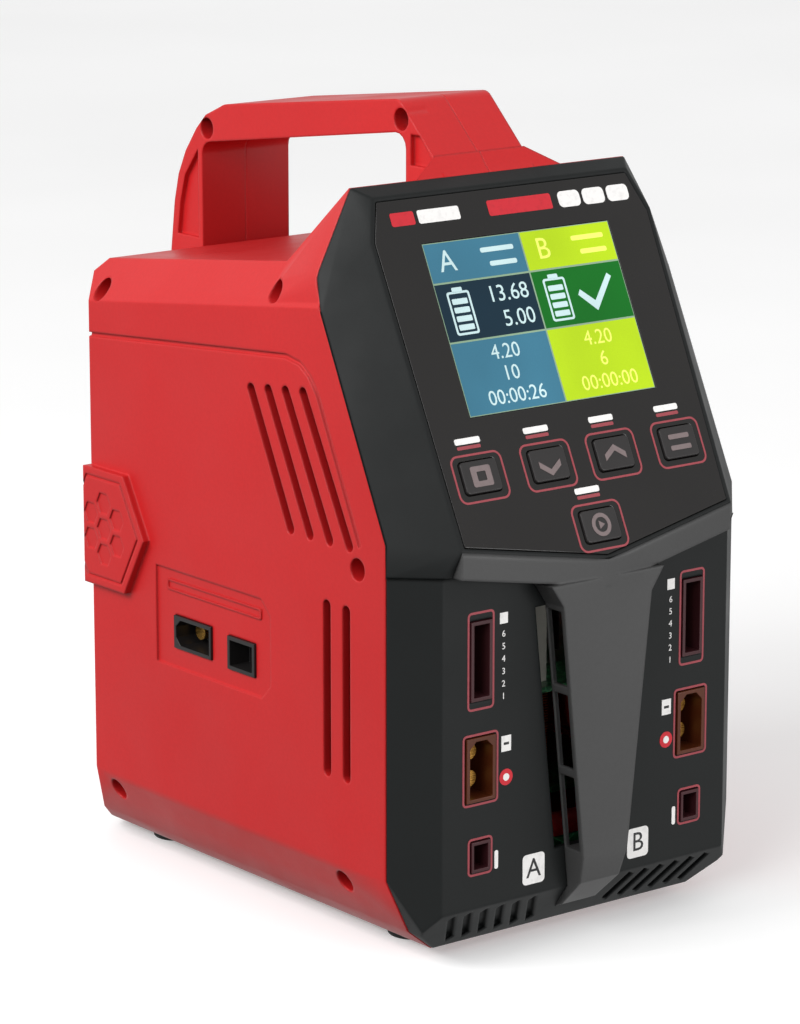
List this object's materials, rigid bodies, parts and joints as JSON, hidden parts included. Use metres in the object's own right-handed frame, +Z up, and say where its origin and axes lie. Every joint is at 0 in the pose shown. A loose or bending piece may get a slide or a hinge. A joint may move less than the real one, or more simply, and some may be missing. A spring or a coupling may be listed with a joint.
{
  "type": "balance battery charger",
  "caption": "Boxy portable twin-channel battery charger with a carry handle, tilted display panel, press keys, battery sockets and side cooling slots.",
  "frame": {"origin": "centre of the bounding box's bottom, on the surface that the feet stand on", "axes": "+Z up, -Y is the front with the display and sockets, +X to the right seen from the front"},
  "size_m": [0.122, 0.1774, 0.2161],
  "materials": {
    "red_shell": "satin",
    "black_case": "satin",
    "grey_case": "satin",
    "fascia_gloss": "gloss",
    "rubber_foot": "matte",
    "screw_steel": "satin",
    "screen_glass": "gloss",
    "lcd_panel": "gloss",
    "key_grey": "satin",
    "circuit_board": "satin",
    "ribbon_plastic": "satin",
    "socket_black": "satin",
    "gold_pin": "satin",
    "lead_red": "satin",
    "fuse_ceramic": "satin",
    "sink_aluminium": "satin",
    "winding_copper": "gloss",
    "capacitor_sleeve": "gloss"
  },
  "bodies": {
    "case": {"left_shell": "red_shell", "right_shell": "red_shell", "front_bezel": "black_case", "display_fascia": "fascia_gloss", "centre_cowl": "grey_case", "rear_grille": "black_case", "feet": "rubber_foot", "case_screws": "screw_steel", "handle_screws": "screw_steel", "bezel_screws": "screw_steel", "screen_window": "screen_glass", "lcd_module": "lcd_panel", "key_board": "circuit_board", "key_switches": "black_case", "display_ribbon": "ribbon_plastic", "balance_socket_a": "socket_black", "balance_socket_b": "socket_black", "balance_pins_a": "gold_pin", "balance_pins_b": "gold_pin", "output_socket_a": "socket_black", "output_socket_b": "socket_black", "output_pins_a": "gold_pin", "output_pins_b": "gold_pin", "sensor_socket_a": "socket_black", "sensor_socket_b": "socket_black", "port_board": "circuit_board", "output_leads": "lead_red", "dc_input_socket": "socket_black", "dc_input_pins": "gold_pin", "link_socket": "socket_black", "ac_inlet": "black_case", "ac_pins": "screw_steel", "inlet_screws": "screw_steel", "fuse": "fuse_ceramic", "power_board": "circuit_board", "charge_board": "circuit_board", "heatsink_a": "sink_aluminium", "heatsink_b": "sink_aluminium", "power_transistors": "socket_black", "transformer": "winding_copper", "bulk_capacitors": "capacitor_sleeve", "output_inductors": "winding_copper", "line_choke": "winding_copper", "fan_frame": "black_case", "fan_screws": "screw_steel"},
    "fan_rotor": {"fan_rotor": "black_case"},
    "stop_key": {"stop_key": "key_grey"},
    "down_key": {"down_key": "key_grey"},
    "up_key": {"up_key": "key_grey"},
    "enter_key": {"enter_key": "key_grey"},
    "start_key": {"start_key": "key_grey"}
  },
  "joints": [
    {"name": "stop_key_press", "type": "slide", "parent": "case", "child": "stop_key", "axis": [0, 0.9026, -0.4305], "range_m": [0, 0.0008], "stiffness_N_per_m": 400, "springref_m": -0.0004},
    {"name": "down_key_press", "type": "slide", "parent": "case", "child": "down_key", "axis": [0, 0.9026, -0.4305], "range_m": [0, 0.0008], "stiffness_N_per_m": 400, "springref_m": -0.0004},
    {"name": "up_key_press", "type": "slide", "parent": "case", "child": "up_key", "axis": [0, 0.9026, -0.4305], "range_m": [0, 0.0008], "stiffness_N_per_m": 400, "springref_m": -0.0004},
    {"name": "enter_key_press", "type": "slide", "parent": "case", "child": "enter_key", "axis": [0, 0.9026, -0.4305], "range_m": [0, 0.0008], "stiffness_N_per_m": 400, "springref_m": -0.0004},
    {"name": "start_key_press", "type": "slide", "parent": "case", "child": "start_key", "axis": [0, 0.9026, -0.4305], "range_m": [0, 0.0008], "stiffness_N_per_m": 400, "springref_m": -0.0004},
    {"name": "fan_spin", "type": "hinge", "parent": "case", "child": "fan_rotor", "pos_m": [0, 0.03902, 0.102], "axis": [0, 1, 0], "continuous": true}
  ]
}
